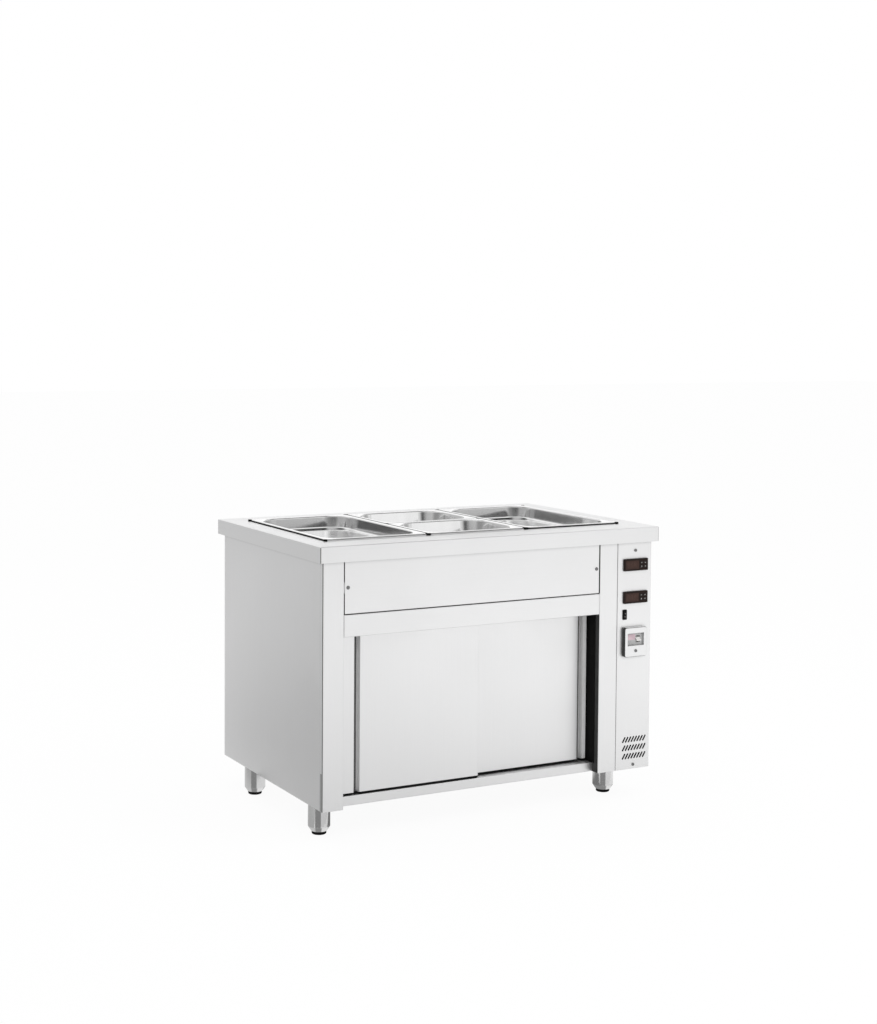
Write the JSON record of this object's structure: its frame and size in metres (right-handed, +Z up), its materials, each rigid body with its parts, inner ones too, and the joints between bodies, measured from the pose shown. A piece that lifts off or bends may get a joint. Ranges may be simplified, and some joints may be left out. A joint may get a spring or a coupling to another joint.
{
  "type": "bain marie",
  "caption": "Free-standing steel bain marie: gastronorm pans hang in a heated water well over a hot cupboard with sliding doors, beside a column of controls.",
  "frame": {"origin": "on the floor under the middle of the worktop's plan", "axes": "+X to the right along the front, +Y to the back, so the front faces -Y, and +Z up"},
  "size_m": [1.115, 0.727, 0.815],
  "materials": {
    "satin_steel": "satin",
    "inner_steel": "mill",
    "pan_steel": "polished",
    "leg_steel": "satin",
    "element_metal": "oxidised",
    "black_plastic": "fine grain",
    "tinted_window": "gloss",
    "key_plastic": "satin",
    "breaker_plastic": "satin",
    "white_plastic": "satin",
    "black_trim": "matte",
    "foot_plastic": "matte",
    "valve_brass": "plated",
    "lever_paint": "dipped"
  },
  "bodies": {
    "cabinet": {"worktop": "satin_steel", "left_side_panel": "satin_steel", "right_side_panel": "satin_steel", "rear_panel": "satin_steel", "left_post": "satin_steel", "right_post": "satin_steel", "fascia_panel": "satin_steel", "front_rail": "satin_steel", "sill": "satin_steel", "control_panel": "satin_steel", "breaker_plate": "satin_steel", "tank": "inner_steel", "divider_bars": "inner_steel", "cross_bar": "inner_steel", "base_panel": "inner_steel", "cupboard_liner": "inner_steel", "shelf": "inner_steel", "door_track": "inner_steel", "drain_pipe": "inner_steel", "leg_tubes": "leg_steel", "panel_screws": "leg_steel", "tank_heater": "element_metal", "cupboard_heater": "element_metal", "upper_controller": "black_plastic", "lower_controller": "black_plastic", "rocker_housing": "black_plastic", "breaker_box": "black_plastic", "cable_gland": "black_plastic", "upper_display": "tinted_window", "lower_display": "tinted_window", "breaker": "breaker_plastic", "terminal_block": "white_plastic", "door_guide": "black_trim", "door_jambs": "black_trim", "drain_valve": "valve_brass"},
    "left_door": {"left_door": "satin_steel"},
    "right_door": {"right_door": "satin_steel"},
    "left_door_roller_left": {"left_door_roller_left": "white_plastic"},
    "left_door_roller_right": {"left_door_roller_right": "white_plastic"},
    "right_door_roller_left": {"right_door_roller_left": "white_plastic"},
    "right_door_roller_right": {"right_door_roller_right": "white_plastic"},
    "upper_key_1": {"upper_key_1": "key_plastic"},
    "upper_key_2": {"upper_key_2": "key_plastic"},
    "upper_key_3": {"upper_key_3": "key_plastic"},
    "upper_key_4": {"upper_key_4": "key_plastic"},
    "lower_key_1": {"lower_key_1": "key_plastic"},
    "lower_key_2": {"lower_key_2": "key_plastic"},
    "lower_key_3": {"lower_key_3": "key_plastic"},
    "lower_key_4": {"lower_key_4": "key_plastic"},
    "rocker": {"rocker": "black_plastic"},
    "breaker_toggle": {"breaker_toggle": "white_plastic"},
    "drain_lever": {"drain_lever": "lever_paint"},
    "front_left_foot": {"front_left_foot": "foot_plastic"},
    "front_right_foot": {"front_right_foot": "foot_plastic"},
    "rear_left_foot": {"rear_left_foot": "foot_plastic"},
    "rear_right_foot": {"rear_right_foot": "foot_plastic"},
    "left_pan": {"left_pan": "pan_steel"},
    "middle_front_pan": {"middle_front_pan": "pan_steel"},
    "middle_rear_pan": {"middle_rear_pan": "pan_steel"},
    "right_pan": {"right_pan": "pan_steel"}
  },
  "joints": [
    {"name": "left_door_slide", "type": "slide", "parent": "cabinet", "child": "left_door", "axis": [1, 0, 0], "range_m": [0, 0.35]},
    {"name": "right_door_slide", "type": "slide", "parent": "cabinet", "child": "right_door", "axis": [1, 0, 0], "range_m": [-0.35, 0]},
    {"name": "left_door_roller_left_spin", "type": "hinge", "parent": "left_door", "child": "left_door_roller_left", "pos_m": [-0.3835, -0.3036, 0.5963], "axis": [0, 1, 0], "continuous": true},
    {"name": "left_door_roller_right_spin", "type": "hinge", "parent": "left_door", "child": "left_door_roller_right", "pos_m": [-0.1245, -0.3036, 0.5963], "axis": [0, 1, 0], "continuous": true},
    {"name": "right_door_roller_left_spin", "type": "hinge", "parent": "right_door", "child": "right_door_roller_left", "pos_m": [0.0025, -0.2791, 0.5963], "axis": [0, 1, 0], "continuous": true},
    {"name": "right_door_roller_right_spin", "type": "hinge", "parent": "right_door", "child": "right_door_roller_right", "pos_m": [0.2615, -0.2791, 0.5963], "axis": [0, 1, 0], "continuous": true},
    {"name": "rocker_tilt", "type": "hinge", "parent": "cabinet", "child": "rocker", "pos_m": [0.4475, -0.346, 0.551], "axis": [-1, 0, 0], "range_deg": [0, 16]},
    {"name": "breaker_toggle_throw", "type": "hinge", "parent": "cabinet", "child": "breaker_toggle", "pos_m": [0.4925, -0.3505, 0.477], "axis": [-1, 0, 0], "range_deg": [0, 44]},
    {"name": "upper_key_1_slide", "type": "slide", "parent": "cabinet", "child": "upper_key_1", "axis": [0, 1, 0], "range_m": [0, 0.0007], "stiffness_N_per_m": 300},
    {"name": "upper_key_2_slide", "type": "slide", "parent": "cabinet", "child": "upper_key_2", "axis": [0, 1, 0], "range_m": [0, 0.0007], "stiffness_N_per_m": 300},
    {"name": "upper_key_3_slide", "type": "slide", "parent": "cabinet", "child": "upper_key_3", "axis": [0, 1, 0], "range_m": [0, 0.0007], "stiffness_N_per_m": 300},
    {"name": "upper_key_4_slide", "type": "slide", "parent": "cabinet", "child": "upper_key_4", "axis": [0, 1, 0], "range_m": [0, 0.0007], "stiffness_N_per_m": 300},
    {"name": "lower_key_1_slide", "type": "slide", "parent": "cabinet", "child": "lower_key_1", "axis": [0, 1, 0], "range_m": [0, 0.0007], "stiffness_N_per_m": 300},
    {"name": "lower_key_2_slide", "type": "slide", "parent": "cabinet", "child": "lower_key_2", "axis": [0, 1, 0], "range_m": [0, 0.0007], "stiffness_N_per_m": 300},
    {"name": "lower_key_3_slide", "type": "slide", "parent": "cabinet", "child": "lower_key_3", "axis": [0, 1, 0], "range_m": [0, 0.0007], "stiffness_N_per_m": 300},
    {"name": "lower_key_4_slide", "type": "slide", "parent": "cabinet", "child": "lower_key_4", "axis": [0, 1, 0], "range_m": [0, 0.0007], "stiffness_N_per_m": 300},
    {"name": "drain_lever_turn", "type": "hinge", "parent": "cabinet", "child": "drain_lever", "pos_m": [0.4525, 0.3005, 0.031], "axis": [0, 0, -1], "range_deg": [0, 90]},
    {"name": "front_left_foot_slide", "type": "slide", "parent": "cabinet", "child": "front_left_foot", "axis": [0, 0, -1], "range_m": [0, 0.03]},
    {"name": "front_right_foot_slide", "type": "slide", "parent": "cabinet", "child": "front_right_foot", "axis": [0, 0, -1], "range_m": [0, 0.03]},
    {"name": "rear_left_foot_slide", "type": "slide", "parent": "cabinet", "child": "rear_left_foot", "axis": [0, 0, -1], "range_m": [0, 0.03]},
    {"name": "rear_right_foot_slide", "type": "slide", "parent": "cabinet", "child": "rear_right_foot", "axis": [0, 0, -1], "range_m": [0, 0.03]},
    {"name": "left_pan_slide", "type": "slide", "parent": "cabinet", "child": "left_pan", "axis": [0, 0, 1], "range_m": [0, 0.15]},
    {"name": "middle_front_pan_slide", "type": "slide", "parent": "cabinet", "child": "middle_front_pan", "axis": [0, 0, 1], "range_m": [0, 0.15]},
    {"name": "middle_rear_pan_slide", "type": "slide", "parent": "cabinet", "child": "middle_rear_pan", "axis": [0, 0, 1], "range_m": [0, 0.15]},
    {"name": "right_pan_slide", "type": "slide", "parent": "cabinet", "child": "right_pan", "axis": [0, 0, 1], "range_m": [0, 0.15]}
  ],
  "couplings": [
    {"joint": "left_door_roller_left_spin", "follows": "left_door_slide", "rad_per_m": 90.909},
    {"joint": "left_door_roller_right_spin", "follows": "left_door_slide", "rad_per_m": 90.909},
    {"joint": "right_door_roller_left_spin", "follows": "right_door_slide", "rad_per_m": 90.909},
    {"joint": "right_door_roller_right_spin", "follows": "right_door_slide", "rad_per_m": 90.909}
  ]
}
